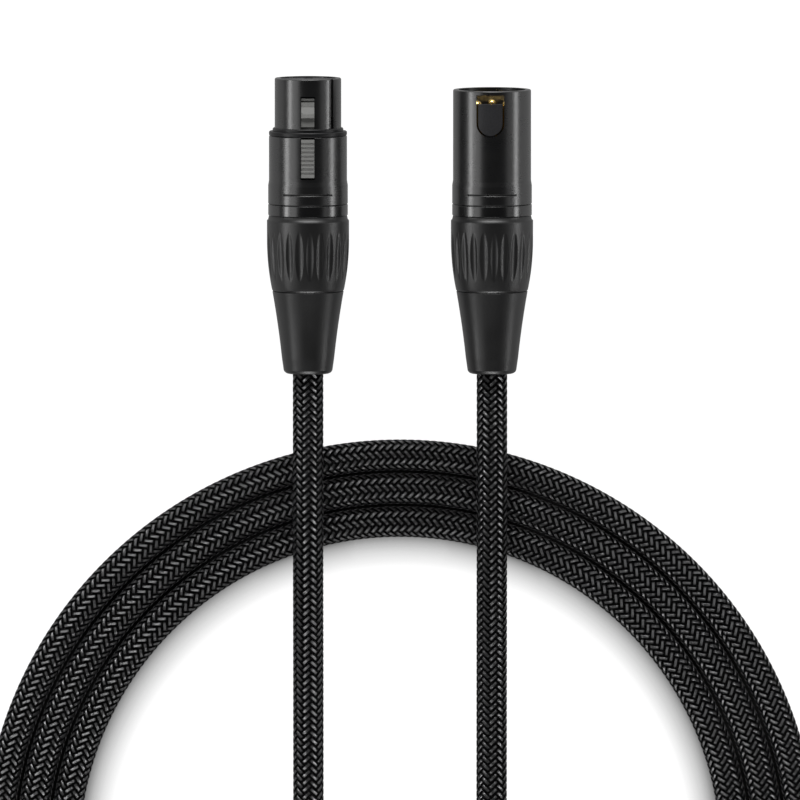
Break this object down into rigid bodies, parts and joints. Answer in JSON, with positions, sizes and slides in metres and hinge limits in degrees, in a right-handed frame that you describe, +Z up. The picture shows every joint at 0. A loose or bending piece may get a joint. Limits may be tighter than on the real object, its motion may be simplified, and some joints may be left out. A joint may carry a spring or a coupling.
{
  "type": "xlr cable coil",
  "caption": "Black braided microphone cable wound in a flat round coil, with a latching female connector and a male connector lying side by side.",
  "frame": {"origin": "on the floor, under the middle of the box that holds the two connectors", "axes": "+Y along both connectors towards their mating ends, +Z up, +X from the female to the male connector"},
  "size_m": [0.2046, 0.2933, 0.02],
  "materials": {
    "braid": "woven, with a slight sheen",
    "boot_rubber": "matte",
    "bushing_plastic": "matte",
    "ring_gloss": "gloss",
    "shell_metal": "black gloss plating",
    "collar_plastic": "satin",
    "insert_plastic": "satin",
    "contact_gold": "gold plated",
    "latch_metal": "bead blasted",
    "spring_steel": "bright",
    "chuck_plastic": "natural",
    "wire_copper": "bare copper",
    "wire_red": "insulation",
    "wire_white": "insulation"
  },
  "bodies": {
    "cable": {"cable_coil": "braid", "female_lead": "braid", "male_lead": "braid", "female_ring": "ring_gloss", "female_chuck": "chuck_plastic", "female_shell": "shell_metal", "female_collar": "collar_plastic", "female_insert": "insert_plastic", "female_socket_1": "contact_gold", "female_socket_2": "contact_gold", "female_socket_3": "contact_gold", "female_ground_clip": "spring_steel", "female_wire_1": "wire_copper", "female_wire_2": "wire_red", "female_wire_3": "wire_white", "latch_pin": "spring_steel", "latch_spring": "spring_steel", "male_ring": "ring_gloss", "male_chuck": "chuck_plastic", "male_shell": "shell_metal", "male_insert": "insert_plastic", "male_pin_1": "contact_gold", "male_pin_2": "contact_gold", "male_pin_3": "contact_gold", "male_ground_clip": "spring_steel", "male_wire_1": "wire_copper", "male_wire_2": "wire_red", "male_wire_3": "wire_white"},
    "latch": {"latch": "latch_metal"},
    "female_boot": {"female_boot": "boot_rubber"},
    "female_bushing": {"female_bushing": "bushing_plastic"},
    "male_boot": {"male_boot": "boot_rubber"},
    "male_bushing": {"male_bushing": "bushing_plastic"}
  },
  "joints": [
    {"name": "latch_press", "type": "hinge", "parent": "cable", "child": "latch", "pos_m": [-0.0224, 0.01065, 0.0166], "axis": [-1, 0, 0], "range_deg": [0, 4], "stiffness_Nm_per_rad": 0.02, "springref_deg": -20.05, "deforming": ["latch_spring"]},
    {"name": "female_boot_slide", "type": "slide", "parent": "cable", "child": "female_boot", "axis": [0, -1, 0], "range_m": [0, 0.004]},
    {"name": "female_bushing_turn", "type": "hinge", "parent": "female_boot", "child": "female_bushing", "pos_m": [-0.0224, -0.0067, 0.01], "axis": [0, -1, 0], "range_deg": [0, 1440]},
    {"name": "male_boot_slide", "type": "slide", "parent": "cable", "child": "male_boot", "axis": [0, -1, 0], "range_m": [0, 0.004]},
    {"name": "male_bushing_turn", "type": "hinge", "parent": "male_boot", "child": "male_bushing", "pos_m": [0.0224, -0.0067, 0.01], "axis": [0, -1, 0], "range_deg": [0, 1440]}
  ],
  "couplings": [
    {"joint": "female_boot_slide", "follows": "female_bushing_turn", "m_per_rad": 0.00015915},
    {"joint": "male_boot_slide", "follows": "male_bushing_turn", "m_per_rad": 0.00015915}
  ]
}
